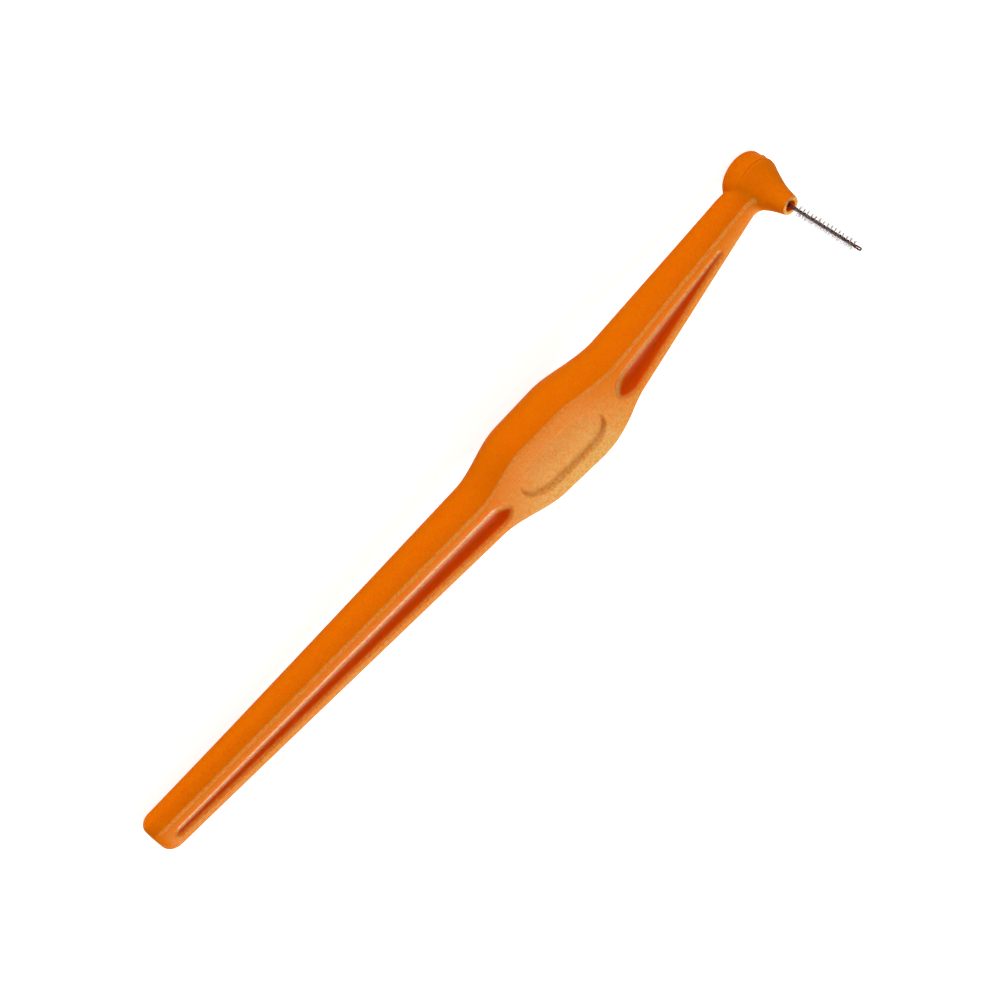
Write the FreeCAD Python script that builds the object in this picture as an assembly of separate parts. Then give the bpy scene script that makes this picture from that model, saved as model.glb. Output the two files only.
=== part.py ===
import FreeCAD, Part
import math
import os

from FreeCAD import Vector

# Interdental brush, millimetres. X runs from the tail to the head, Y across the grip, and Z the way
# the bristles point. It lies on its rounded back, with its lowest point at Z = 0 and the middle of
# its length at X = 0. While it is drawn, X starts at the tail.

total_length = 150.0

# Grip: a bar with an elliptic back, cut off flat on the bristle side. Widths are those of the flat.
tail_face_width = 6.4
waist_face_width = 10.4
fore_face_width = 12.0
neck_face_width = 4.1
heel_face_width = 3.05
bulge_face_extra = 7.4
neck_reach = 6.2

# Stations of the grip, as shares of the total length.
waist_share = 0.527
fore_share = 0.693
crest_share = 0.677
bulge_shares = (0.503, 0.582, 0.637, 0.724)
long_trough_end_share = 0.532
short_trough_shares = (0.693, 0.891)
panel_share = 0.61

# Heights of the flat face and of the back above the table: two straight runs each, with a soft crest.
tail_face_height = 5.6
crest_face_height = 12.37
neck_face_height = 7.19
heel_face_height = 6.55
tail_back_height = 0.3
crest_back_height = 2.47
neck_back_height = 1.09
heel_back_height = 1.95
bulge_back_drop = 1.35
crest_softness = 0.28

# Height of the flat face above the widest line of the bar.
tail_face_rise = 2.3
waist_face_rise = 3.05
neck_face_rise = 2.65
heel_face_rise = 2.14

# The tail is rounded off over this length, by the same across the grip and by less in height.
tail_round = 2.6
tail_edge_round = 1.5

# Two troughs moulded into the flat face, with a rim of even width along each.
long_trough_rim = 1.9
short_trough_rim = 1.65
trough_depth_share = 0.27
long_trough_start = 2.9

# Bare sunk panel in the thumb bulge.
panel_length = 18.2
panel_width = 10.6
panel_depth = 0.8

# Head: a short drum that flares to the nozzle. Its axis leans forward from square to the grip, and
# its measures along that axis start at the drum's widest ring.
head_lean = 8.0
drum_radius = 4.65
drum_back_radius = 4.58
drum_back_length = 3.5
drum_edge_round = 0.75
flare_length = 8.15
flare_shares = ((0.0, 1.0), (0.065, 0.98), (0.21, 0.85), (0.51, 0.61), (0.72, 0.485), (1.0, 0.37))
neck_blend = 1.0
gate_radius = 0.4
gate_proud = 0.12
gate_back = 1.7

# Mouth of the nozzle round the wire.
mouth_radius = 1.05
mouth_floor_radius = 0.7
mouth_depth = 1.1

# Wire: one coated hairpin, twisted round the threads that it clamps, with an open eye at the tip.
wire_diameter = 0.2
coating_thickness = 0.035
bond_clearance = 0.004
wire_reach = 16.0
wire_sunk = 10.2
root_straight = 0.85
twist_length = 1.77
twist_ease = 0.9
eye_radius = 0.2
eye_spread = 0.6

# Threads: each passes between the two legs of the wire and stands out on both sides.
thread_diameter = 0.075
clamp_clearance = 0.004
brush_diameter = 2.5
root_brush_diameter = 2.8
root_fan_length = 2.4
threads_per_fan = 11

overrun = 1.0
tail_sections = 6
run_sections = 4
bulge_sections = 24
back_points = 17
wire_points_per_turn = 10
sunk_points = 5

x_axis = Vector(1.0, 0.0, 0.0)
y_axis = Vector(0.0, 1.0, 0.0)
z_axis = Vector(0.0, 0.0, 1.0)
lean = math.radians(head_lean)

wire_radius = wire_diameter / 2.0
coated_radius = wire_radius + coating_thickness
leg_offset = coated_radius + thread_diameter / 2.0 + clamp_clearance
head_x = total_length - drum_radius * math.cos(lean)
head_z = ((drum_back_length - drum_edge_round) * math.cos(lean)
          + (drum_back_radius - drum_edge_round) * math.sin(lean) + drum_edge_round)
grip_end = head_x - drum_radius / 3.0
neck_x = head_x - neck_reach
waist_x = waist_share * total_length
fore_x = fore_share * total_length
crest_x = crest_share * total_length
head_place = FreeCAD.Placement(Vector(head_x, 0.0, head_z), FreeCAD.Rotation(y_axis, head_lean))

# Stations of the wire along the head's axis.
sunk_end = flare_length - wire_sunk
mouth_floor = flare_length - mouth_depth
twist_start = flare_length + root_straight
eye_centre = flare_length + wire_reach - coated_radius - eye_radius
twist_end = eye_centre - eye_spread
full_turn = 2.0 * math.pi * (twist_end - twist_start - twist_ease) / twist_length


def ramp(value, start, end):
    share = min(max((value - start) / (end - start), 0.0), 1.0)
    return share * share * (3.0 - 2.0 * share)


def mix(first, second, share):
    return first + (second - first) * share


def crest(rising, falling):
    """Lower of two runs, with the corner between them softened."""
    return (rising + falling - math.hypot(rising - falling, 2.0 * crest_softness)) / 2.0


def bulge(x):
    start, full, fade, end = [share * total_length for share in bulge_shares]
    return ramp(x, start, full) * (1.0 - ramp(x, fade, end))


def heel_share(x):
    """How far a station has gone from the neck to the grip's end, inside the head."""
    return (x - neck_x) / (grip_end - neck_x)


def plain_face_width(x):
    if x < waist_x:
        return mix(tail_face_width, waist_face_width, x / waist_x)
    if x < fore_x:
        return mix(waist_face_width, fore_face_width, (x - waist_x) / (fore_x - waist_x))
    if x < neck_x:
        return mix(fore_face_width, neck_face_width, (x - fore_x) / (neck_x - fore_x))
    return mix(neck_face_width, heel_face_width, heel_share(x))


def face_width(x):
    return plain_face_width(x) + bulge_face_extra * bulge(x)


def face_height(x):
    if x > neck_x:
        return mix(neck_face_height, heel_face_height, heel_share(x))
    rising = mix(tail_face_height, crest_face_height, x / crest_x)
    falling = mix(crest_face_height, neck_face_height, (x - crest_x) / (neck_x - crest_x))
    return crest(rising, falling)


def back_height(x):
    if x > neck_x:
        return mix(neck_back_height, heel_back_height, heel_share(x))
    rising = mix(tail_back_height, crest_back_height, x / fore_x)
    falling = mix(crest_back_height, neck_back_height, (x - fore_x) / (neck_x - fore_x))
    return crest(rising, falling) - bulge_back_drop * bulge(x)


def face_rise(x):
    if x < waist_x:
        return mix(tail_face_rise, waist_face_rise, x / waist_x)
    if x < neck_x:
        return mix(waist_face_rise, neck_face_rise, (x - waist_x) / (neck_x - waist_x))
    return mix(neck_face_rise, heel_face_rise, heel_share(x))


def tail_inset_share(x):
    """How far the outline has drawn in where the tail is rounded off: all the way at its very end."""
    short = max(1.0 - x / tail_round, 0.0)
    return 1.0 - math.sqrt(1.0 - short * short)


def grip_section(x):
    """Closed outline across the grip: the elliptic back and the flat face."""
    share = tail_inset_share(x)
    rise = face_rise(x)
    middle = face_height(x) - rise
    depth = middle - back_height(x)
    half_width = face_width(x) / 2.0 / math.cos(math.asin(rise / depth)) - share * tail_round
    depth -= share * tail_edge_round
    face_angle = math.asin((rise - share * tail_edge_round) / depth)
    sweep = math.pi + 2.0 * face_angle
    points = []
    for index in range(back_points):
        angle = face_angle - sweep * index / (back_points - 1)
        points.append(Vector(x, half_width * math.cos(angle), middle + depth * math.sin(angle)))
    back = Part.BSplineCurve()
    back.interpolate(points)
    return Part.Wire([back.toShape(), Part.makeLine(points[-1], points[0])])


def spread(start, end, count):
    """Evenly spaced stations from the start, short of the end."""
    return [mix(start, end, index / count) for index in range(count)]


def grip_stations():
    """Where the grip's sections stand: close together round the tail and in the bulge."""
    step = math.radians(90.0) / tail_sections
    stations = [tail_round * (1.0 - math.cos(step * index)) for index in range(tail_sections)]
    bulge_start, bulge_end = bulge_shares[0] * total_length, bulge_shares[-1] * total_length
    stations += spread(tail_round, bulge_start, run_sections)
    stations += spread(bulge_start, bulge_end, bulge_sections)
    stations += spread(bulge_end, neck_x, run_sections)
    return stations + [neck_x, grip_end]


def build_grip():
    return Part.makeLoft([grip_section(x) for x in grip_stations()], True, True)


def ball_for_trough(x, inward, rim):
    """Radius and centre of the ball that rounds off a trough whose end on the flat face is at x."""
    width = plain_face_width(x) - 2.0 * rim
    depth = trough_depth_share * width
    radius = (width * width / 4.0 + depth * depth) / (2.0 * depth)
    centre_x = x + inward * width / 2.0
    return radius, Vector(centre_x, 0.0, face_height(centre_x) + radius - depth)


def build_trough(start, end, rim):
    """Capsule that swells from one ball to the other."""
    first_radius, first = ball_for_trough(start, 1.0, rim)
    second_radius, second = ball_for_trough(end, -1.0, rim)
    axis = second - first
    length = axis.Length
    swell = math.asin((second_radius - first_radius) / length)

    def on_ball(radius, height, angle):
        return Vector(radius * math.cos(angle), 0.0, height + radius * math.sin(angle))

    quarter = math.radians(90.0)
    near_pole = on_ball(first_radius, 0.0, -quarter)
    near = on_ball(first_radius, 0.0, -swell)
    far = on_ball(second_radius, length, -swell)
    far_pole = on_ball(second_radius, length, quarter)
    outline = Part.Wire([
        Part.Arc(near_pole, on_ball(first_radius, 0.0, -(quarter + swell) / 2.0), near).toShape(),
        Part.makeLine(near, far),
        Part.Arc(far, on_ball(second_radius, length, (quarter - swell) / 2.0), far_pole).toShape(),
        Part.makeLine(far_pole, near_pole),
    ])
    capsule = Part.Face(outline).revolve(Vector(), z_axis, 360.0)
    capsule.Placement = FreeCAD.Placement(first, FreeCAD.Rotation(z_axis, axis))
    return capsule


def build_panel():
    """Plain round-ended slab whose floor lies parallel to the flat face."""
    straight = panel_length - panel_width
    height = panel_depth + overrun
    slab = Part.makeBox(straight, panel_width, height,
                        Vector(-straight / 2.0, -panel_width / 2.0, -panel_depth))
    for side in (-1.0, 1.0):
        foot = Vector(side * straight / 2.0, 0.0, -panel_depth)
        slab = slab.fuse(Part.makeCylinder(panel_width / 2.0, height, foot))
    slab = slab.removeSplitter()
    middle_x = panel_share * total_length
    slope = math.atan2(crest_face_height - tail_face_height, crest_x)
    turn = FreeCAD.Rotation(y_axis, -math.degrees(slope))
    slab.Placement = FreeCAD.Placement(Vector(middle_x, 0.0, face_height(middle_x)), turn)
    return slab


def build_head():
    """Drum, flare and gate mark, drawn round the head's own axis."""
    flare_points = []
    for along_share, radius_share in flare_shares:
        flare_points.append(Vector(drum_radius * radius_share, 0.0, flare_length * along_share))
    flare = Part.BSplineCurve()
    flare.interpolate(flare_points)
    back_centre = Vector(0.0, 0.0, -drum_back_length)
    edge_x = drum_back_radius - drum_edge_round
    edge_z = drum_edge_round - drum_back_length
    bend = math.radians(45.0)
    reach = drum_edge_round * math.sin(bend)
    edge_mid = Vector(edge_x + reach, 0.0, edge_z - reach)
    edge_foot = Vector(edge_x, 0.0, -drum_back_length)
    edge_side = Vector(drum_back_radius, 0.0, edge_z)
    nozzle_centre = Vector(0.0, 0.0, flare_length)
    outline = Part.Wire([
        Part.makeLine(back_centre, edge_foot),
        Part.Arc(edge_foot, edge_mid, edge_side).toShape(),
        Part.makeLine(edge_side, flare_points[0]),
        flare.toShape(),
        Part.makeLine(flare_points[-1], nozzle_centre),
        Part.makeLine(nozzle_centre, back_centre),
    ])
    head = Part.Face(outline).revolve(Vector(), z_axis, 360.0)
    gate = Part.makeCylinder(gate_radius, drum_radius + gate_proud, Vector(0.0, 0.0, -gate_back), x_axis)
    return head.fuse(gate)


def twist_turn(along):
    """Angle that the pair of legs has turned through at a station of the head's axis."""
    rate = 2.0 * math.pi / twist_length
    done = min(max(along - twist_start, 0.0), twist_end - twist_start)
    left = twist_end - twist_start - done
    if done < twist_ease:
        return rate * done * done / (2.0 * twist_ease)
    if left < twist_ease:
        return full_turn - rate * left * left / (2.0 * twist_ease)
    return rate * (done - twist_ease / 2.0)


def station_of_turn(turn):
    """Station of the head's axis where the legs have turned through an angle."""
    low, high = twist_start, twist_end
    while high - low > bond_clearance / 10.0:
        middle = (low + high) / 2.0
        if twist_turn(middle) < turn:
            low = middle
        else:
            high = middle
    return (low + high) / 2.0


def leg_point(along):
    turn = twist_turn(along)
    offset = mix(leg_offset, eye_radius, ramp(along, twist_end, eye_centre))
    return Vector(offset * math.cos(turn), offset * math.sin(turn), along)


def leg_path():
    """Centre line of one leg, from its sunk end to the eye."""
    step = twist_length / wire_points_per_turn
    count = math.ceil((eye_centre - twist_start) / step)
    stations = spread(sunk_end, twist_start, sunk_points)
    stations += spread(twist_start, eye_centre, count) + [eye_centre]
    points = [leg_point(along) for along in stations]
    path = Part.BSplineCurve()
    path.interpolate(Points=points, InitialTangent=z_axis, FinalTangent=z_axis)
    return Part.Wire([path.toShape()])


def sunk_ring(radius):
    return Part.Wire([Part.makeCircle(radius, Vector(leg_offset, 0.0, sunk_end), z_axis)])


def hairpin_skin(radius):
    """Side faces of a round hairpin: a leg, the half ring of the eye and the other leg."""
    leg = leg_path().makePipeShell([sunk_ring(radius)], False, False)
    other_leg = leg.rotated(Vector(), z_axis, 180.0)
    across = Vector(math.cos(full_turn), math.sin(full_turn), 0.0)
    middle = Vector(0.0, 0.0, eye_centre)
    ring = Part.makeCircle(radius, middle + across * eye_radius, z_axis)
    eye = ring.revolve(middle, across.cross(z_axis), 180.0)
    return leg.Faces + eye.Faces + other_leg.Faces


def close_hairpin(skins, end_cap):
    """Solid between side faces, closed by the same cap on both sunk ends."""
    shell = Part.makeShell(skins + [end_cap, end_cap.rotated(Vector(), z_axis, 180.0)])
    shell.sewShape(bond_clearance / 2.0)
    solid = Part.makeSolid(shell)
    if solid.Volume < 0.0:
        solid.reverse()
    return solid


def build_core():
    return close_hairpin(hairpin_skin(wire_radius), Part.Face(sunk_ring(wire_radius)))


def build_coating():
    bore = wire_radius + bond_clearance
    end_cap = Part.makeFace([sunk_ring(coated_radius), sunk_ring(bore)], "Part::FaceMakerBullseye")
    return close_hairpin(hairpin_skin(coated_radius) + hairpin_skin(bore), end_cap)


def build_fan(number):
    """Threads that one half turn of the twist clamps, each square to the line between the legs."""
    threads = []
    for index in range(threads_per_fan):
        turn = math.pi * (number + (index + 0.5) / threads_per_fan)
        along = station_of_turn(turn)
        root_share = 1.0 - ramp(along, flare_length, flare_length + root_fan_length)
        length = mix(brush_diameter, root_brush_diameter, root_share)
        way = Vector(-math.sin(turn), math.cos(turn), 0.0)
        start = Vector(0.0, 0.0, along) - way * (length / 2.0)
        threads.append(Part.makeCylinder(thread_diameter / 2.0, length, start, way))
    return Part.makeCompound(threads)


def joins_neck_to_flare(edge, bar, head):
    """True for an edge on the skins of both the grip and the head, on the bristle side of the drum."""
    if min(corner.Z for corner in edge.Vertexes) < head_z:
        return False
    middle = Part.Vertex(edge.valueAt(mix(edge.FirstParameter, edge.LastParameter, 0.5)))
    return all(middle.distToShape(solid.Shells[0])[0] < bond_clearance for solid in (bar, head))


def build_handle():
    bar = build_grip()
    head = build_head()
    head.Placement = head_place
    handle = bar.fuse(head)
    seam = [edge for edge in handle.Edges if joins_neck_to_flare(edge, bar, head)]
    handle = handle.makeFillet(neck_blend, seam)
    short_start, short_end = [share * total_length for share in short_trough_shares]
    long_end = long_trough_end_share * total_length
    handle = handle.cut(build_trough(long_trough_start, long_end, long_trough_rim))
    handle = handle.cut(build_trough(short_start, short_end, short_trough_rim))
    handle = handle.cut(build_panel())
    mouth = Part.makeCone(mouth_floor_radius, mouth_radius, mouth_depth, Vector(0.0, 0.0, mouth_floor))
    cuts = [mouth, Part.makeCylinder(mouth_radius, overrun, Vector(0.0, 0.0, flare_length))]
    for side in (-1.0, 1.0):
        foot = Vector(side * leg_offset, 0.0, sunk_end - bond_clearance)
        cuts.append(Part.makeCylinder(coated_radius + bond_clearance, wire_sunk, foot))
    for tool in cuts:
        tool.Placement = head_place
        handle = handle.cut(tool)
    return handle


os.makedirs("parts", exist_ok=True)
pieces = {"wire_core": build_core(), "wire_coating": build_coating()}
for number in range(round(full_turn / math.pi)):
    pieces["filaments_%02d" % (number + 1)] = build_fan(number)
for piece in pieces.values():
    piece.Placement = head_place
pieces["handle"] = build_handle()
to_middle = Vector(-total_length / 2.0, 0.0, 0.0)
for name, piece in pieces.items():
    piece.translate(to_middle)
    piece.exportStep("parts/%s.step" % name)
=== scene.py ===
# %% [markdown]
# # A long-handled interdental brush
# The brush is one orange moulding, a hairpin of coated wire twisted round nylon threads, and the
# threads themselves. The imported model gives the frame: millimetre sizes, the place of the head and
# the place of every thread group. This lesson dresses that frame for a close photograph.

# %% Load the frame
import bisect
import math
import random

import bmesh
import bpy
from mathutils import Matrix, Vector


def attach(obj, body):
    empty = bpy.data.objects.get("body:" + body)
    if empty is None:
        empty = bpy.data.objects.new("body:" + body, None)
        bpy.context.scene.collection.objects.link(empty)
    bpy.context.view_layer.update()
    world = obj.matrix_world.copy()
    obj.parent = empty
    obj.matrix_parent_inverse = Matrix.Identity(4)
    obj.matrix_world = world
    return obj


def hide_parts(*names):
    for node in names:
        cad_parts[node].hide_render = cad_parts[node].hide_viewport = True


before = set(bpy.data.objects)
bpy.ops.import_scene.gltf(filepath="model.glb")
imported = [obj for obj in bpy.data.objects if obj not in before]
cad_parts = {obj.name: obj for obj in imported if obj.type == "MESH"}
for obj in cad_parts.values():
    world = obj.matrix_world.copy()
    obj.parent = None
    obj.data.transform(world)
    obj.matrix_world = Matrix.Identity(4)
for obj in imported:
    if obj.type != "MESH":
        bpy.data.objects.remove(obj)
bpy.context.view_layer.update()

mm = 0.001

# %% [markdown]
# ## The grip in numbers
# Cut across, the grip is an ellipse with its top sliced off flat. Moulds are drawn as a few straight
# runs with a soft crest, so the sizes of the slice are straight runs too, and one smooth bump makes
# the thumb bulge. All of it is in millimetres from the tail, as in the part's own drawing.

# %% Stops along the grip
total_length = 150.0
waist_x, crest_x, fore_x = 79.05, 101.55, 103.95
neck_x, grip_end = 139.195, 143.845
tail_round, tail_edge_round = 2.6, 1.5
face_widths = ((0.0, 6.4), (waist_x, 10.4), (fore_x, 12.0), (neck_x, 4.1), (grip_end, 3.05))
face_heights = ((0.0, 5.6), (crest_x, 12.37), (neck_x, 7.19), (grip_end, 6.55))
back_heights = ((0.0, 0.3), (fore_x, 2.47), (neck_x, 1.09), (grip_end, 1.39))
face_rises = ((0.0, 2.3), (waist_x, 3.05), (neck_x, 2.65), (grip_end, 2.4))
bulge_swell, bulge_fade = (75.45, 87.3), (95.55, 108.6)
bulge_extra_width, bulge_extra_depth = 7.4, 1.35
crest_soft, back_soft = 2.4, 0.55
soft_samples = 17
print("stops along the face:", len(face_widths))


# %% Runs and bumps
def mix(first, second, share):
    return first + (second - first) * share


def ramp(value, start, end):
    share = min(max((value - start) / (end - start), 0.0), 1.0)
    return share * share * (3.0 - 2.0 * share)


def runs(x, stops):
    """Straight runs through (station, size) stops."""
    for (left, low), (right, high) in zip(stops, stops[1:]):
        if x <= right:
            break
    return mix(low, high, (x - left) / (right - left))


def soft_runs(x, stops, softness):
    """The same runs with their corners rounded off, as a mean over a stretch to either side."""
    half = (soft_samples - 1) / 2.0
    shifts = [softness * (index / half - 1.0) for index in range(soft_samples)]
    return sum(runs(x + shift, stops) for shift in shifts) / soft_samples


def bulge(x):
    return ramp(x, *bulge_swell) * (1.0 - ramp(x, *bulge_fade))


def plain_face_width(x):
    return runs(x, face_widths)


def face_width(x):
    return plain_face_width(x) + bulge_extra_width * bulge(x)


def face_height(x):
    return soft_runs(x, face_heights, crest_soft)


def back_height(x):
    return soft_runs(x, back_heights, back_soft) - bulge_extra_depth * bulge(x)


def face_rise(x):
    return runs(x, face_rises)


print("bulge width:", round(face_width(bulge_swell[1]), 2), "mm,",
      "waist:", round(face_width(bulge_swell[0]), 2), "mm")

# %% [markdown]
# ## Troughs and panel
# Two finger troughs are scooped out of the flat face with a rim of even width, and a shallow sunk
# panel sits in the bulge. Cutting them with a boolean leaves ragged faces along the lip, so they are
# written as a depth below the flat face, and the lip is rounded by a soft maximum.

# %% Depth below the flat face
# Each trough has a start, an end and a rim width.
troughs = ((2.9, 79.8, 1.9), (fore_x, 133.65, 1.65))
trough_sag, trough_reach, lip_soft = 0.54, 1.5, 0.16
panel_middle, panel_length, panel_width, panel_depth = 91.5, 18.2, 10.6, 0.8
panel_wall = (-0.42, 0.1)


def soft_positive(value, softness):
    return (value + math.hypot(value, softness)) / 2.0


def trough_depth(x, y, start, end, rim):
    def half_width(at):
        return plain_face_width(at) / 2.0 - rim

    first, last = start + half_width(start), end - half_width(end)
    half = half_width(min(max(x, first), last))
    depth = trough_sag * half
    ball = (half * half + depth * depth) / (2.0 * depth)
    reach = math.hypot(max(first - x, 0.0, x - last), y)
    if reach >= trough_reach * half:
        return 0.0
    return soft_positive(math.sqrt(ball * ball - min(reach, ball) ** 2) - ball + depth, lip_soft)


def trough_depths(x, y):
    return sum(trough_depth(x, y, *trough) for trough in troughs)


def panel_sink(x, y):
    straight = (panel_length - panel_width) / 2.0
    outside = math.hypot(max(abs(x - panel_middle) - straight, 0.0), y) - panel_width / 2.0
    return panel_depth * (1.0 - ramp(outside, *panel_wall))


def sink(x, y):
    return panel_sink(x, y) + trough_depths(x, y)


long_middle = (troughs[0][0] + troughs[0][1]) / 2.0
print("long trough:", round(sink(long_middle, 0.0), 2), "mm deep,",
      "panel:", round(sink(panel_middle, 0.0), 2), "mm deep")

# %% [markdown]
# ## A ring round the grip
# Every ring of the mesh has the same points in the same order: the elliptic back, the rounded far
# ridge, the flat face and the rounded near ridge. Keeping that order lets the extrude operator join
# ring to ring, and leaves clean quads that run along the grip.

# %% Points of one ring
back_steps, ridge_steps, face_steps = 46, 5, 84
ridge_soft, crown = 0.45, 0.25
ring_places = [("back", index / back_steps) for index in range(back_steps + 1)]
ring_places += [("far_ridge", index / ridge_steps) for index in range(1, ridge_steps)]
ring_places += [("face", index / face_steps) for index in range(face_steps + 1)]
ring_places += [("near_ridge", index / ridge_steps) for index in range(1, ridge_steps)]


def slice_at(x):
    """Half width, depth and height of the ellipse, and the angle where the flat face cuts it."""
    short = max(1.0 - x / tail_round, 0.0)
    inset = 1.0 - math.sqrt(1.0 - short * short)
    rise = face_rise(x)
    middle = face_height(x) - rise
    depth = middle - back_height(x)
    half_width = face_width(x) / 2.0 / math.cos(math.asin(rise / depth)) - inset * tail_round
    depth -= inset * tail_edge_round
    return half_width, depth, middle, math.asin((rise - inset * tail_edge_round) / depth)


def ring_point(x, cut, kind, share):
    half_width, depth, middle, cut_angle = cut
    face_z = middle + depth * math.sin(cut_angle)
    half_face = half_width * math.cos(cut_angle)
    speed = math.hypot(half_width * math.sin(cut_angle), depth * math.cos(cut_angle))
    round_angle = ridge_soft / speed

    def on_back(angle):
        return Vector((x, half_width * math.cos(angle), middle + depth * math.sin(angle)))

    if kind == "back":
        top = cut_angle - round_angle
        return on_back(mix(top, -math.pi - top, share))
    if kind == "face":
        y = mix(-1.0, 1.0, share) * (half_face - ridge_soft)
        return Vector((x, y, face_z + crown * (1.0 - (y / half_face) ** 2) - sink(x, y)))
    side = 1.0 if kind == "near_ridge" else -1.0
    if side > 0.0:
        share = 1.0 - share
    below = on_back(cut_angle - round_angle)
    corner = Vector((x, half_face, face_z))
    above_z = face_z + crown * (1.0 - (1.0 - ridge_soft / half_face) ** 2)
    above = Vector((x, half_face - ridge_soft, above_z))
    point = below.lerp(corner, share).lerp(corner.lerp(above, share), share)
    return Vector((x, side * point.y, point.z))


print("points in a ring:", len(ring_places))

# %% [markdown]
# ## The head in numbers
# The head is turned about its own axis, which leans forward from square to the grip. Its outline is
# a list of radius and height pairs, measured from the parting ring: a rounded back edge, a drum with
# a touch of taper, and the flare down to the nozzle. A smooth curve through six measured radii gives
# the flare its hollow line without a kink at each of them.

# %% Outline of the head
head_lean = math.radians(8.0)
drum_radius, drum_back_radius, drum_back_length, drum_edge = 4.65, 4.58, 3.5, 0.75
head_x, head_z = 145.395, 4.006
head_place = Matrix.Translation((head_x, 0.0, head_z)) @ Matrix.Rotation(head_lean, 4, "Y")
to_head = head_place.inverted()
flare_length, flare_steps = 8.15, 8
# Shares of the flare's length and of the drum's radius.
flare_shares = ((0.0, 1.0), (0.065, 0.98), (0.21, 0.85), (0.51, 0.61), (0.72, 0.485), (1.0, 0.37))
edge_angles = [math.radians(15.0 * index) for index in range(7)]
taper_shares = (0.3, 0.6, 0.85, 0.96)


def smooth_through(stops, steps):
    """Catmull-Rom curve through the stops."""
    stops = [Vector(stop) for stop in stops]
    padded = [2.0 * stops[0] - stops[1]] + stops + [2.0 * stops[-1] - stops[-2]]
    curve = []
    for a, b, c, d in zip(padded, padded[1:], padded[2:], padded[3:]):
        for index in range(steps):
            t = index / steps
            curve.append(0.5 * (2.0 * b + (c - a) * t + (2.0 * a - 5.0 * b + 4.0 * c - d) * t * t
                                + (3.0 * b - a - 3.0 * c + d) * t * t * t))
    return curve + [stops[-1]]


edge_centre = Vector((drum_back_radius - drum_edge, drum_edge - drum_back_length))
drum_outline = [edge_centre + drum_edge * Vector((math.sin(a), -math.cos(a))) for a in edge_angles]
drum_outline += [Vector((mix(drum_back_radius, drum_radius, t), mix(edge_centre.y, 0.0, t)))
                 for t in taper_shares]
flare_stops = [(drum_radius * r, flare_length * s) for s, r in flare_shares]
flare_outline = smooth_through(flare_stops, flare_steps)
head_outline = drum_outline + flare_outline
outline_heights = [point.y for point in head_outline]
print("points in the head's outline:", len(head_outline))


# %% The head's skin
def head_radius(height):
    spot = min(max(bisect.bisect(outline_heights, height), 1), len(head_outline) - 1)
    low, high = head_outline[spot - 1], head_outline[spot]
    return mix(low.x, high.x, min(max((height - low.y) / (high.y - low.y), 0.0), 1.0))


def outside_head(point):
    """Above zero outside the head's skin, below zero inside."""
    local = to_head @ point
    return max(math.hypot(local.x, local.y) - head_radius(local.z), -drum_back_length - local.z)


def head_normal(point, step=0.02):
    around = [outside_head(point + shift) - outside_head(point - shift)
              for shift in (Vector((step, 0, 0)), Vector((0, step, 0)), Vector((0, 0, step)))]
    return Vector(around).normalized()


def onto_head(point):
    local = to_head @ point
    height = max(local.z, -drum_back_length)
    radius = math.hypot(local.x, local.y)
    reach = head_radius(height)
    if local.z <= -drum_back_length:
        reach = min(radius, reach)
    return head_place @ Vector((local.x * reach / radius, local.y * reach / radius, height))


print("radius at the nozzle:", round(head_radius(flare_length), 2), "mm")

# %% [markdown]
# ## Where the neck meets the head
# The real neck runs into the flare in a soft hollow, but keeps a crisp corner against the drum. Each
# line along the neck is followed to the head's skin, and its last stretch is bent into a curve that
# leaves along the neck and arrives along the head. The rings then end just under the head's skin.

# %% Neck lines
blend_start = 137.2
crisp_blend, soft_blend, blend_heights = 0.22, 1.45, (-1.6, 0.9)
blend_pull = 0.62
straight_steps, curve_steps = 9, 12
# Steps past the blend's end, and how far each lies under the skin.
under_skin = ((0.15, 0.012), (0.3, 0.05), (0.45, 0.15))


def last_place(low, high, holds, rounds):
    """Halves the gap until low is the last place where the test still holds."""
    for _ in range(rounds):
        middle = (low + high) / 2.0
        low, high = (middle, high) if holds(middle) else (low, middle)
    return low


def neck_curve(kind, share):
    """Points of one line from blend_start to just under the head's skin."""
    def along(x):
        return ring_point(x, slice_at(x), kind, share)

    meet_x = last_place(blend_start, grip_end, lambda x: outside_head(along(x)) > 0.0, 36)
    meet = along(meet_x)
    head_way = head_normal(meet)
    height = (to_head @ meet).z
    width = mix(crisp_blend, soft_blend, ramp(height, *blend_heights))
    leave = along(meet_x - width)
    outward = meet - Vector((meet.x, 0.0, face_height(meet.x) - face_rise(meet.x)))
    away = outward - head_way * outward.dot(head_way)
    arrive = onto_head(meet + away.normalized() * width)
    arrive_way = head_normal(arrive)
    inward = meet - arrive
    inward -= arrive_way * inward.dot(arrive_way)
    handles = (leave, leave.lerp(meet, blend_pull), arrive + inward * blend_pull, arrive)
    points = [along(mix(blend_start, meet_x - width, index / straight_steps))
              for index in range(straight_steps)]
    for index in range(curve_steps + 1):
        t = index / curve_steps
        weights = ((1 - t) ** 3, 3 * t * (1 - t) ** 2, 3 * t * t * (1 - t), t ** 3)
        points.append(sum((w * h for w, h in zip(weights, handles)), Vector()))
    onward = -inward.normalized()
    for reach, depth in under_skin:
        under = onto_head(arrive + onward * reach)
        points.append(under - head_normal(under) * depth)
    return points


neck_lines = [neck_curve(kind, share) for kind, share in ring_places]
print("rings in the neck blend:", len(neck_lines[0]))

# %% [markdown]
# ## Extruding the grip
# One ring is made with the circle operator and extruded from station to station. A skin over a few
# profile curves would need fewer lines, but would round off the trough ends. The stations stand close
# together where the form turns: round the tail, at the trough ends and round the panel.

# %% From ring to ring
def ring_edges(bm, ring):
    return [bm.edges.get((ring[index - 1], ring[index])) for index in range(len(ring))]


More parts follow.
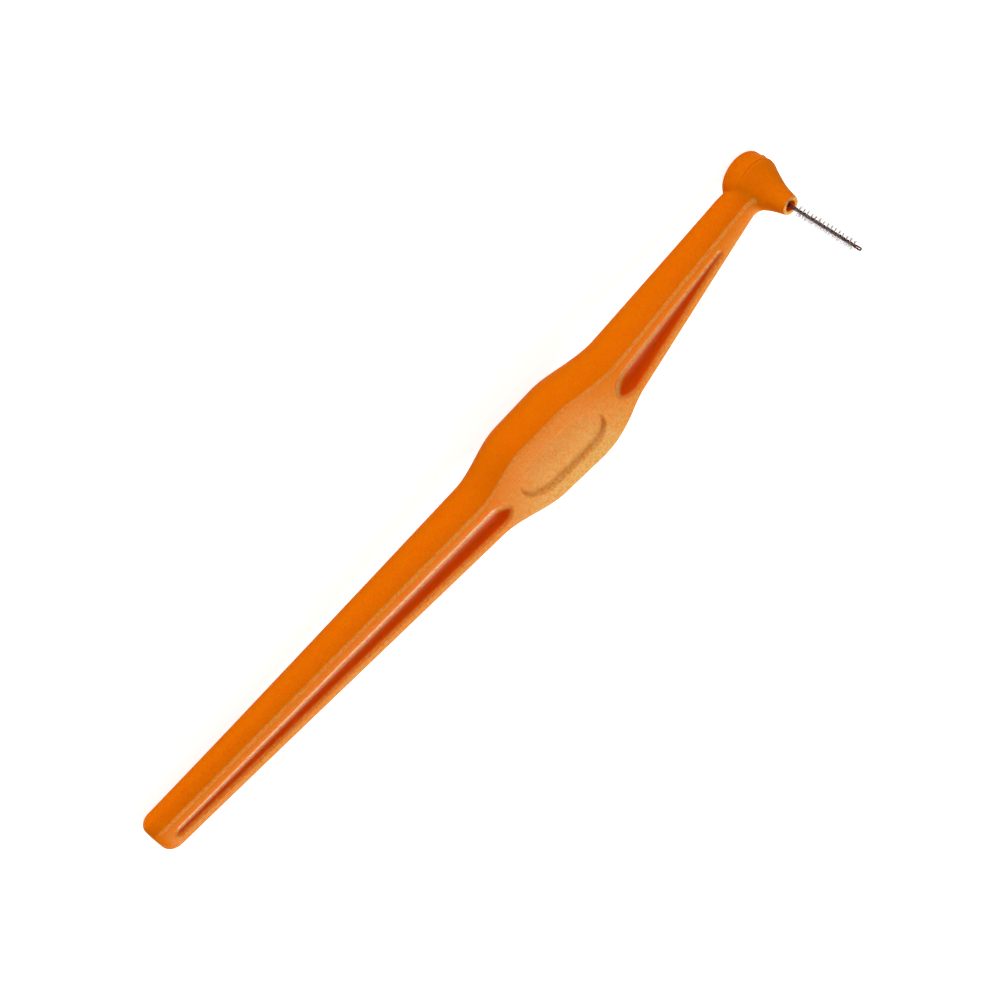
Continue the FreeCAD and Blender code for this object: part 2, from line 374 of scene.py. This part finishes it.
def cap(bm, ring):
    bmesh.ops.holes_fill(bm, edges=ring_edges(bm, ring), sides=0)


def extrude_ring(bm, ring, points):
    """Extrudes a closed ring once and lays the new ring on the points."""
    made = bmesh.ops.extrude_edge_only(bm, edges=ring_edges(bm, ring))
    fresh = {item for item in made["geom"] if isinstance(item, bmesh.types.BMVert)}
    following = []
    for vert, point in zip(ring, points):
        across = [edge.other_vert(vert) for edge in vert.link_edges]
        mate = next(other for other in across if other in fresh)
        mate.co = point
        following.append(mate)
    return following


def sweep(bm, ring, rows):
    """Lays a ring on the first row of points, extrudes it through the others and caps both ends."""
    rings = []
    for points in rows:
        if rings:
            ring = extrude_ring(bm, ring, points)
        else:
            for vert, point in zip(ring, points):
                vert.co = point
            cap(bm, ring)
        rings.append(ring)
    cap(bm, ring)
    return rings


def spread(start, end, step):
    count = max(round((end - start) / step), 1)
    return [mix(start, end, index / count) for index in range(count)]


tail_angles = [math.radians(6.0 * index) for index in range(15)]
stations = [tail_round * (1.0 - math.cos(angle)) for angle in tail_angles]
station_runs = ((tail_round, 5.6, 0.11), (5.6, 74.6, 1.1), (74.6, 81.0, 0.13), (81.0, 87.0, 0.13),
                (87.0, 96.0, 0.4), (96.0, 102.4, 0.13), (102.4, 108.0, 0.13), (108.0, 131.6, 0.8),
                (131.6, 134.4, 0.11), (134.4, blend_start, 0.6))
for start, end, step in station_runs:
    stations += spread(start, end, step)
print("stations along the grip:", len(stations))


# %% Grip rings
def grip_row(x):
    cut = slice_at(x)
    return [ring_point(x, cut, kind, share) for kind, share in ring_places]


bm = bmesh.new()
spark_sheen_layer = bm.verts.layers.float.new("spark_and_sheen")
hollow_layer = bm.verts.layers.float.new("hollow")
ring = bmesh.ops.create_circle(bm, segments=len(ring_places), radius=1.0)["verts"]
grip_rings = sweep(bm, ring, [grip_row(x) for x in stations] + list(zip(*neck_lines)))
ring_stations = stations + [blend_start] * len(neck_lines[0])
print("rings in the grip:", len(grip_rings))

# %% [markdown]
# ## Painting the finishes and the light
# The mould leaves a rough spark finish on the flat face and is polished in the troughs. Two numbers
# on each point of the mesh tell the plastic which finish it has, and both also place painted light.
# The
# first says how pale it is: the spark finish with painted sheen, which is paler towards the far rim
# and on the bulge, a painted highlight along the near ridge, and more painted highlight along the
# trough bottoms. The second says where a trough is, with a lower value along its bottom than on its
# walls, and places the painted shade on the trough walls. Attributes follow the mesh, so these
# finishes and the painted light keep their edges however the part is turned.

# %% Painted attributes
# Paleness of the plain face and of the bulge: the spark finish with painted sheen, paler towards the
# far rim and on the bulge.
far_sheen, near_sheen, ridge_highlight = (0.42, 1.0), (0.05, 0.26), 0.42
tail_fade = (0.3, 2.4)
trough_edge, bottom_edge = (0.05, 0.7), (0.03, 0.13)
bottom_highlight, bottom_hollow = 0.4, 0.4


def paint(ring, x):
    fade = ramp(x, *tail_fade)
    far, near = mix(*far_sheen, bulge(x)), mix(*near_sheen, bulge(x))
    for vert, (kind, share) in zip(ring, ring_places):
        if kind == "face":
            hollow = ramp(trough_depths(x, vert.co.y), *trough_edge)
            # A band along each trough's bottom, which gets a painted highlight and a lower hollow
            # value.
            bottom = 1.0 - ramp(abs(share - 0.5), *bottom_edge)
            # Painted sheen: paler towards the far rim and on the bulge than on the near rim.
            vert[spark_sheen_layer] = mix(far, near, share) * fade + bottom_highlight * hollow * bottom
            # The hollow value also places the painted shade on the trough walls.
            vert[hollow_layer] = hollow * mix(1.0, bottom_hollow, bottom)
        elif kind == "near_ridge":
            # Painted highlight along the near ridge only.
            vert[spark_sheen_layer] = ridge_highlight * fade


def finish_piece(bm, name, place=None):
    """Moves a mesh drawn in millimetres to its place in the frame and makes it an object."""
    to_frame = Matrix.Scale(mm, 4) @ Matrix.Translation((-total_length / 2.0, 0.0, 0.0))
    bmesh.ops.transform(bm, matrix=to_frame @ (place or Matrix.Identity(4)), verts=bm.verts)
    bmesh.ops.recalc_face_normals(bm, faces=bm.faces)
    for face in bm.faces:
        face.smooth = True
    mesh = bpy.data.meshes.new(name)
    bm.to_mesh(mesh)
    bm.free()
    piece = bpy.data.objects.new(name, mesh)
    bpy.context.scene.collection.objects.link(piece)
    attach(piece, "root")
    print(name, "faces:", len(mesh.polygons))
    return piece


for ring, x in zip(grip_rings, ring_stations):
    paint(ring, x)
grip = finish_piece(bm, "grip")

# %% [markdown]
# ## Spinning the head
# A lathe form is one outline and one spin. The outline goes from the middle of the back, over the
# drum with the fine witness line of the parting, down the flare, round the lip of the nozzle and into
# the mouth that holds the wire. The small gate mark, where the plastic was let into the mould, is a
# bevelled stub on the drum.

# %% Lathe outline
lip_round = 0.16
lip_angles = [math.radians(22.5 * index) for index in range(1, 5)]
back_shares = (0.0, 0.4, 0.75, 0.93)
# Radius and depth of each step into the mouth.
mouth_steps = ((1.16, 0.0), (1.09, 0.02), (1.05, 0.08), (0.9, 0.5), (0.74, 0.95),
               (0.66, 1.06), (0.5, 1.1), (0.25, 1.1), (0.0, 1.1))
# How far the witness line stands out from the drum, and at what height.
witness_steps = ((0.002, -0.07), (0.045, -0.03), (0.045, 0.03), (-0.01, 0.08))

nozzle_radius = drum_radius * flare_shares[-1][1]
lip = [Vector((nozzle_radius - lip_round + lip_round * math.cos(a),
               flare_length - lip_round + lip_round * math.sin(a))) for a in lip_angles]
mouth = [Vector((radius, flare_length - drop)) for radius, drop in mouth_steps]
witness = [Vector((drum_radius + out, height)) for out, height in witness_steps]
lathe = [Vector((share * edge_centre.x, -drum_back_length)) for share in back_shares]
lathe += drum_outline + witness + flare_outline[1:-1] + lip + mouth
print("points on the lathe outline:", len(lathe))

# %% Head mesh
spin_steps, merge_gap = 144, 0.0005
stub_radius, stub_top_radius, stub_height, stub_bevel = 0.4, 0.36, 0.6, 0.06
stub_middle = (drum_radius - 0.2, 0.0, -1.7)
nozzle_end = flare_length - 0.06

bm = bmesh.new()
corners = [bm.verts.new((point.x, 0.0, point.y)) for point in lathe]
lines = [bm.edges.new(pair) for pair in zip(corners, corners[1:])]
bmesh.ops.spin(bm, geom=corners + lines, cent=(0, 0, 0), axis=(0, 0, 1), dvec=(0, 0, 0),
               angle=math.tau, steps=spin_steps, use_merge=True, use_duplicate=False)
bmesh.ops.remove_doubles(bm, verts=bm.verts, dist=merge_gap)
stub_place = Matrix.Translation(stub_middle) @ Matrix.Rotation(math.radians(90.0), 4, "Y")
stub = bmesh.ops.create_cone(bm, cap_ends=True, segments=24, depth=stub_height, matrix=stub_place,
                             radius1=stub_radius, radius2=stub_top_radius)
stub_top = {vert for vert in stub["verts"] if vert.co.x > drum_radius}
stub_rim = [edge for edge in bm.edges if stub_top.issuperset(edge.verts)]
bmesh.ops.bevel(bm, geom=stub_rim, offset=stub_bevel, segments=3, profile=0.5,
                affect="EDGES", material=-1)
# Painted sheen: the nozzle's end face gets the pale colour of the flat face, as if lit.
end_sheen_layer = bm.verts.layers.float.new("spark_and_sheen")
for vert in bm.verts:
    vert[end_sheen_layer] = 1.0 if vert.co.z > nozzle_end else 0.0
head = finish_piece(bm, "head", head_place)
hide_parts("handle")
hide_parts("handle")

# %% [markdown]
# ## The twisted wire
# The stem is one wire bent double. Its two legs are sunk side by side in the nozzle, wind round each
# other to grip the threads, and part again in a small open eye at the tip. The twist starts and ends
# gently, as a real winding does, so the angle is eased at both ends. One ring is extruded up the
# first leg, round the eye and down the second.

# %% Line of the wire
coated_radius, leg_offset, eye_radius, eye_steps = 0.135, 0.1765, 0.2, 12
sunk_length, free_length = 10.2, 16.0
plain_root, plain_tip = 0.85, 0.6
twist_length, twist_ease = 1.77, 0.9
sunk_step, twist_step = 1.5, 0.085

sunk_end, twist_start = flare_length - sunk_length, flare_length + plain_root
eye_centre = flare_length + free_length - coated_radius - eye_radius
twist_end = eye_centre - plain_tip
twist_rate = math.tau / twist_length
full_turn = math.tau * (twist_end - twist_start - twist_ease) / twist_length


def twist_turn(height):
    done = min(max(height - twist_start, 0.0), twist_end - twist_start)
    left = twist_end - twist_start - done
    if done < twist_ease:
        return twist_rate * done * done / (2.0 * twist_ease)
    if left < twist_ease:
        return full_turn - twist_rate * left * left / (2.0 * twist_ease)
    return twist_rate * (done - twist_ease / 2.0)


def leg_point(height, half_turn):
    turn = twist_turn(height) + half_turn
    offset = mix(leg_offset, eye_radius, ramp(height, twist_end, eye_centre))
    return Vector((offset * math.cos(turn), offset * math.sin(turn), height))


heights = spread(sunk_end, twist_start, sunk_step)
heights += spread(twist_start, eye_centre, twist_step) + [eye_centre]
wire_line = [leg_point(height, 0.0) for height in heights]
for index in range(1, eye_steps):
    angle = math.pi * index / eye_steps
    across = eye_radius * math.cos(angle)
    wire_line.append(Vector((across * math.cos(full_turn), across * math.sin(full_turn),
                             eye_centre + eye_radius * math.sin(angle))))
wire_line += [leg_point(height, math.pi) for height in reversed(heights)]
print("points along the wire:", len(wire_line))

# %% Wire mesh
shown_extra, tube_sides = 0.018, 12
bm = bmesh.new()
ring = bmesh.ops.create_circle(bm, segments=tube_sides, radius=coated_radius + shown_extra)["verts"]
ring_shape = [vert.co.copy() for vert in ring]
turn = Matrix.Identity(3)
heading = Vector((0.0, 0.0, 1.0))
wire_rows = []
for index, point in enumerate(wire_line):
    ahead = wire_line[min(index + 1, len(wire_line) - 1)] - wire_line[max(index - 1, 0)]
    turn = heading.rotation_difference(ahead).to_matrix() @ turn
    heading = ahead.normalized()
    wire_rows.append([point + turn @ corner for corner in ring_shape])
sweep(bm, ring, wire_rows)
wire = finish_piece(bm, "twisted_wire", head_place)
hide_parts("wire_coating")

# %% [markdown]
# ## The threads
# Each thread passes between the two legs and stands out on both sides, so one half turn of the twist
# fans its threads through half a circle. A four-sided rod, cut into a few lengths, is enough for a
# hair this fine. Every copy is bent and tilted a little with seeded chance, because nylon never
# comes off the cutter perfectly straight.

# %% Thread rod
thread_radius, rod_cuts = 0.02, 7
rod = bmesh.new()
bmesh.ops.create_cone(rod, cap_ends=True, segments=4, depth=2.0,
                      radius1=thread_radius, radius2=thread_radius)
long_edges = [edge for edge in rod.edges if edge.calc_length() > 1.0]
bmesh.ops.subdivide_edges(rod, edges=long_edges, cuts=rod_cuts, use_grid_fill=True)
rod_mesh = bpy.data.meshes.new("thread_rod")
rod.to_mesh(rod_mesh)
rod.free()
print("faces in a thread:", len(rod_mesh.polygons))

# %% Thread fans
chance = random.Random(27)
threads_per_fan = 44
tip_half_length, root_half_length, root_reach = 1.25, 1.4, 2.4
shortest_cut = 0.72
turn_play, sway_play, tilt_play = 0.9, 0.4, 0.3
held_share = 0.12


def add_thread(bm, turn, height, half_length, sway, tip, tilt):
    """Copies the rod into a fan and bends the copy, outside the wire that holds it."""
    known = len(bm.verts)
    bm.from_mesh(rod_mesh)
    bm.verts.ensure_lookup_table()
    way = Vector((-math.sin(turn), math.cos(turn), 0.0))
    side = Vector((math.cos(turn), math.sin(turn), 0.0))
    up = Vector((0.0, 0.0, 1.0))
    for vert in bm.verts[known:]:
        share = vert.co.z
        reach = max(abs(share) - held_share, 0.0)
        lift = tip * reach * reach + tilt * reach * math.copysign(1.0, share)
        drift = side * (sway * reach * reach) + up * lift
        vert.co = (Vector((0.0, 0.0, height)) + way * (share * half_length) + drift
                   + side * vert.co.x + up * vert.co.y)


fans = []
for number in range(round(full_turn / math.pi)):
    bm = bmesh.new()
    for index in range(threads_per_fan):
        spot = index + 0.5 + chance.uniform(-turn_play, turn_play)
        turn = math.pi * (number + spot / threads_per_fan)
        height = last_place(twist_start, twist_end, lambda at: twist_turn(at) < turn, 24)
        root = 1.0 - ramp(height, flare_length, flare_length + root_reach)
        half_length = mix(tip_half_length, root_half_length, root)
        half_length *= chance.uniform(shortest_cut, 1.0)
        sway, tip = chance.uniform(-sway_play, sway_play), chance.uniform(-sway_play, sway_play)
        tilt = chance.uniform(-tilt_play, tilt_play)
        add_thread(bm, turn, height, half_length, sway, tip, tilt)
    fan = finish_piece(bm, "threads_%02d" % (number + 1), head_place)
    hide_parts("filaments_%02d" % (number + 1))
    fans.append(fan)
bpy.data.meshes.remove(rod_mesh)
print("thread groups:", len(fans))

# %% [markdown]
# ## Shared grain
# Moulded plastic carries the fine spark texture of its mould. One node group makes that grain from
# Object coordinates, with its own two scales in each material, and puts out a height for bump and a
# cloud value that mottles the colour.

# %% Empty grain group
def set_inputs(node, **values):
    """Plain values for the named inputs of a node."""
    for label, value in values.items():
        node.inputs[label.replace("_", " ")].default_value = value


def feed(tree, node, **sources):
    """Links other nodes' outputs to the named inputs of a node."""
    for label, source in sources.items():
        tree.links.new(source, node.inputs[label.replace("_", " ")])


def new_group(name, inputs, outputs):
    group = bpy.data.node_groups.new(name, "ShaderNodeTree")
    for label, kind, default in inputs:
        socket = group.interface.new_socket(label, in_out="INPUT", socket_type=kind)
        socket.default_value = default
    for label, kind in outputs:
        group.interface.new_socket(label, in_out="OUTPUT", socket_type=kind)
    return group, group.nodes.new("NodeGroupInput"), group.nodes.new("NodeGroupOutput")


grain, grain_in, grain_out = new_group(
    "mould_grain",
    [("Fine Scale", "NodeSocketFloat", 3200.0), ("Cloud Scale", "NodeSocketFloat", 60.0)],
    [("Height", "NodeSocketFloat"), ("Cloud", "NodeSocketFloat")])
print("group:", grain.name)

# %% Grain from two noises
place_node = grain.nodes.new("ShaderNodeTexCoord")
for scale, detail, result in (("Fine Scale", 3.0, "Height"), ("Cloud Scale", 2.0, "Cloud")):
    noise = grain.nodes.new("ShaderNodeTexNoise")
    set_inputs(noise, Detail=detail)
    feed(grain, noise, Vector=place_node.outputs["Object"], Scale=grain_in.outputs[scale])
    grain.links.new(noise.outputs["Fac"], grain_out.inputs[result])
print("nodes in the grain:", len(grain.nodes))

# %% [markdown]
# ## Orange plastic
# The handle is polypropylene with an orange dye: a warm orange that lets light in a little way, so
# its shaded folds glow red instead of grey. The flat face is rougher, with the sparkle of the mould,
# and paler with painted sheen. The troughs are smooth: their walls are painted a deeper orange as
# shade, and their bottoms are painted pale as a highlight and have a clear coat that catches the
# light. One plastic with masks from the painted attributes is used, because separate materials would
# leave hard borders where the finishes run into each other.

# %% New material
# Places of a Mix node's two inputs and of its output, for each kind.
mix_sockets = {"FLOAT": (2, 3, 0), "RGBA": (6, 7, 2)}


def new_material(name):
    material = bpy.data.materials.new(name)
    material.use_nodes = True
    tree = material.node_tree
    return material, tree, tree.nodes["Principled BSDF"]


def add_group(tree, group, **values):
    node = tree.nodes.new("ShaderNodeGroup")
    node.node_tree = group
    set_inputs(node, **values)
    return node


def map_range(tree, source, low, high, start=0.0, end=1.0):
    """The source's stretch from start to end becomes low to high."""
    node = tree.nodes.new("ShaderNodeMapRange")
    set_inputs(node, From_Min=start, From_Max=end, To_Min=low, To_Max=high)
    feed(tree, node, Value=source)
    return node.outputs["Result"]


def mix_node(tree, kind, factor, first, second):
    """Mixes two colours or values, each a plain one or another node's output."""
    node = tree.nodes.new("ShaderNodeMix")
    node.data_type = kind
    first_in, second_in, mixed = mix_sockets[kind]
    feed(tree, node, Factor=factor)
    for socket, value in ((node.inputs[first_in], first), (node.inputs[second_in], second)):
        if isinstance(value, bpy.types.NodeSocket):
            tree.links.new(value, socket)
        else:
            socket.default_value = value
    return node.outputs[mixed]


def mix_colour(tree, factor, first, second):
    return mix_node(tree, "RGBA", factor, first, second)


def mix_value(tree, factor, first, second):
    return mix_node(tree, "FLOAT", factor, first, second)


def attribute(tree, name):
    node = tree.nodes.new("ShaderNodeAttribute")
    node.attribute_name = name
    return node.outputs["Fac"]


orange, tree, plastic = new_material("orange_polypropylene")
print("material:", orange.name)

# %% Handle colours
dye_deep, dye_light = (0.91, 0.165, 0.0003, 1.0), (0.96, 0.22, 0.0006, 1.0)
# The pale spark colours also carry the painted sheen and painted highlights.
spark_sheen_deep, spark_sheen_light = (0.9, 0.33, 0.04, 1.0), (1.0, 0.6, 0.2, 1.0)
# Painted shade: the deeper red of the trough walls.
wall_shade = (0.92, 0.1, 0.0003, 1.0)

skin = add_group(tree, grain, Fine_Scale=3600.0, Cloud_Scale=70.0)
spark = add_group(tree, grain, Fine_Scale=2300.0, Cloud_Scale=240.0)
skin_height, spark_height = skin.outputs["Height"], spark.outputs["Height"]
spark_sheen_mask, hollow_mask = attribute(tree, "spark_and_sheen"), attribute(tree, "hollow")
wall_mask = map_range(tree, hollow_mask, 0.0, 1.0, start=bottom_hollow, end=1.0)
plastic_colour = mix_colour(tree, map_range(tree, skin_height, 0.0, 1.0, start=0.3, end=0.7),
                  dye_deep, dye_light)
sparked_sheen = mix_colour(tree, map_range(tree, spark_height, 0.0, 1.0, start=0.35, end=0.65),
                     spark_sheen_deep, spark_sheen_light)
# Painted sheen and highlights: the pale spark colour is mixed in by the painted attribute.
plastic_colour = mix_colour(tree, spark_sheen_mask, plastic_colour, sparked_sheen)
# Painted shade: the trough walls turn a deeper red.
plastic_colour = mix_colour(tree, wall_mask, plastic_colour, wall_shade)
feed(tree, plastic, Base_Color=plastic_colour)
print("nodes for the colour:", len(tree.nodes))

# %% Handle finish
skin_rough, spark_rough, trough_rough = 0.42, 0.5, 0.24
bottom_coat, wall_coat = 0.3, 0.04
level_height = 0.5

rough = mix_value(tree, spark_sheen_mask, skin_rough, spark_rough)
rough = mix_value(tree, hollow_mask, rough, trough_rough)
coat_weight = map_range(tree, hollow_mask, 0.0, bottom_coat, start=0.0, end=bottom_hollow)
coat_weight = mix_value(tree, wall_mask, coat_weight, wall_coat)
grain_height = mix_value(tree, spark_sheen_mask, skin_height, spark_height)
grain_height = mix_value(tree, hollow_mask, grain_height, level_height)
bump = tree.nodes.new("ShaderNodeBump")
set_inputs(bump, Strength=0.55, Distance=0.00005)
feed(tree, bump, Height=grain_height)
feed(tree, plastic, Roughness=rough, Coat_Weight=coat_weight, Normal=bump.outputs["Normal"])
set_inputs(plastic, Subsurface_Weight=0.5, Subsurface_Radius=(1.0, 0.2, 0.05),
           Subsurface_Scale=0.0007, Specular_IOR_Level=0.05, IOR=1.15, Coat_Roughness=0.27)
for piece in (grip, head):
    piece.data.materials.append(orange)
print("nodes in the plastic:", len(tree.nodes))

# %% [markdown]
# ## Wire, threads and the hidden core
# The wire's coating is a dark brown plastic skin, scuffed paler in patches. The threads are
# milky nylon that passes some light. The steel core stays as the frame's own solid inside the
# coating, and only needs the drawn grain of wire. All three drift between two tones with the grain's
# clouds, so one helper makes their colour.

# %% Wire coating
def cloudy_material(name, scales, deep, light, clouds=None):
    """Material whose colour drifts between two tones, and the grain node that it drifts with."""
    material, tree, shader = new_material(name)
    marks = add_group(tree, grain, Fine_Scale=scales[0], Cloud_Scale=scales[1])
    drift = marks.outputs["Cloud"]
    if clouds:
        drift = map_range(tree, drift, 0.0, 1.0, *clouds)
    feed(tree, shader, Base_Color=mix_colour(tree, drift, deep, light))
    return material, tree, shader, marks.outputs


coat, tree, shell, scuff = cloudy_material(
    "dark_wire_coating", (5200.0, 900.0),
    (0.05, 0.01, 0.006, 1.0), (0.27, 0.08, 0.052, 1.0), clouds=(0.35, 0.75))
feed(tree, shell, Roughness=map_range(tree, scuff["Height"], 0.35, 0.5))
set_inputs(shell, Specular_IOR_Level=0.1, IOR=1.2)
wire.data.materials.append(coat)
print("material:", coat.name)

# %% Threads and core
nylon, tree, strand, milk = cloudy_material(
    "milky_nylon", (6000.0, 1400.0), (0.4, 0.38, 0.37, 1.0), (0.62, 0.6, 0.58, 1.0))
feed(tree, strand, Roughness=map_range(tree, milk["Height"], 0.28, 0.42),
     Alpha=map_range(tree, milk["Cloud"], 0.3, 0.6))
for fan in fans:
    fan.data.materials.append(nylon)

steel, tree, drawn, draw_lines = cloudy_material(
    "drawn_steel", (4200.0, 700.0), (0.4, 0.39, 0.38, 1.0), (0.56, 0.55, 0.54, 1.0))
feed(tree, drawn, Roughness=map_range(tree, draw_lines["Height"], 0.25, 0.45))
set_inputs(drawn, Metallic=1.0)
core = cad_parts["wire_core"]
core.data.materials.clear()
core.data.materials.append(steel)
print("materials:", nylon.name, steel.name)

# %% [markdown]
# ## The floor
# The photograph is a product shot on white. More light on a grey floor would bleach the brush too, so
# the floor is a pale sheet that shines only for the rays that look at it, from the camera or by way
# of a mirror or glass. It still takes the brush's shadow and throws light back up at it.

# %% Floor
floor_half_width, floor_drop, floor_glow = 3.0, 0.00002, 0.86
white = (1.0, 1.0, 1.0, 1.0)

bm = bmesh.new()
bmesh.ops.create_grid(bm, x_segments=2, y_segments=2, size=floor_half_width)
bmesh.ops.translate(bm, verts=bm.verts, vec=(0.0, 0.0, -floor_drop))
floor_mesh = bpy.data.meshes.new("floor")
bm.to_mesh(floor_mesh)
bm.free()
floor = bpy.data.objects.new("floor", floor_mesh)
bpy.context.scene.collection.objects.link(floor)


def greater(tree, first, second):
    node = tree.nodes.new("ShaderNodeMath")
    node.operation = "MAXIMUM"
    for socket, source in zip(node.inputs, (first, second)):
        tree.links.new(source, socket)
    return node.outputs[0]


sheet, tree, paper, _ = cloudy_material(
    "white_sheet", (900.0, 20.0), (0.84, 0.84, 0.84, 1.0), (0.86, 0.86, 0.86, 1.0))
ray = tree.nodes.new("ShaderNodeLightPath")
seen = greater(tree, ray.outputs["Is Camera Ray"], ray.outputs["Is Transmission Ray"])
seen = greater(tree, seen, ray.outputs["Is Glossy Ray"])
feed(tree, paper, Emission_Strength=map_range(tree, seen, 0.0, floor_glow))
set_inputs(paper, Roughness=0.9, Specular_IOR_Level=0.0, Emission_Color=white)
floor_mesh.materials.append(sheet)
print("floor:", sheet.name)

# %% [markdown]
# ## The light
# A softbox close to the brush would light the tail and the head unequally, so the lamps are distant
# and have wide, soft discs. The key lamp stands high behind the brush. A lower one behind draws the
# highlights along the troughs, and a low fill on the camera's side lights the side of the handle. A
# weak white sky softens what is left.

# %% World and lamps
world = bpy.data.worlds.new("studio")
bpy.context.scene.world = world
world.use_nodes = True
set_inputs(world.node_tree.nodes["Background"], Color=white, Strength=0.13)


def soft_lamp(name, way, strength, width):
    """Distant lamp that shines from the given direction."""
    data = bpy.data.lights.new(name, "SUN")
    data.energy = strength
    data.angle = math.radians(width)
    lamp = bpy.data.objects.new(name, data)
    lamp.rotation_mode = "QUATERNION"
    lamp.rotation_quaternion = Vector(way).to_track_quat("Z", "Y")
    bpy.context.scene.collection.objects.link(lamp)
    print("lamp:", name, "strength:", strength)


soft_lamp("key", (0.0, -0.5, 0.87), 1.5, 30.0)
soft_lamp("rim", (-0.15, -0.89, 0.44), 1.7, 20.0)
soft_lamp("fill", (0.12, 0.98, 0.1), 1.75, 15.0)

# %% [markdown]
# ## The camera
# The brush lies slanting across a square picture and is seen from its side, a little from above. The
# lens is long and far away, so near and far ends keep their true proportions. The camera's three
# axes are worked out from the tilt of the view and the slant of the brush, which is easier to adjust
# than three turns of an aimed camera.

# %% Camera
view_tilt, slant = math.radians(33.0), math.radians(47.737)
picture_width, pixels_per_mm = 1000.0, 6.125
lens, sensor = 600.0, 36.0
target = Vector((4.12, 0.0, 8.654)) * mm

along = Vector((1.0, 0.0, 0.0))
level = Vector((0.0, -math.sin(view_tilt), math.cos(view_tilt)))
back = Vector((0.0, math.cos(view_tilt), math.sin(view_tilt)))
right = math.cos(slant) * along + math.sin(slant) * level
up = math.sin(slant) * along - math.cos(slant) * level
distance = picture_width / pixels_per_mm * mm * lens / sensor
camera_data = bpy.data.cameras.new("camera")
camera_data.lens = lens
camera_data.sensor_width = sensor
camera = bpy.data.objects.new("camera", camera_data)
bpy.context.scene.collection.objects.link(camera)
turned = Matrix((right, up, back)).transposed().to_4x4()
camera.matrix_world = Matrix.Translation(target + back * distance) @ turned
bpy.context.scene.camera = camera
bpy.context.scene.view_settings.view_transform = "Standard"
print("camera distance:", round(distance, 3), "m")
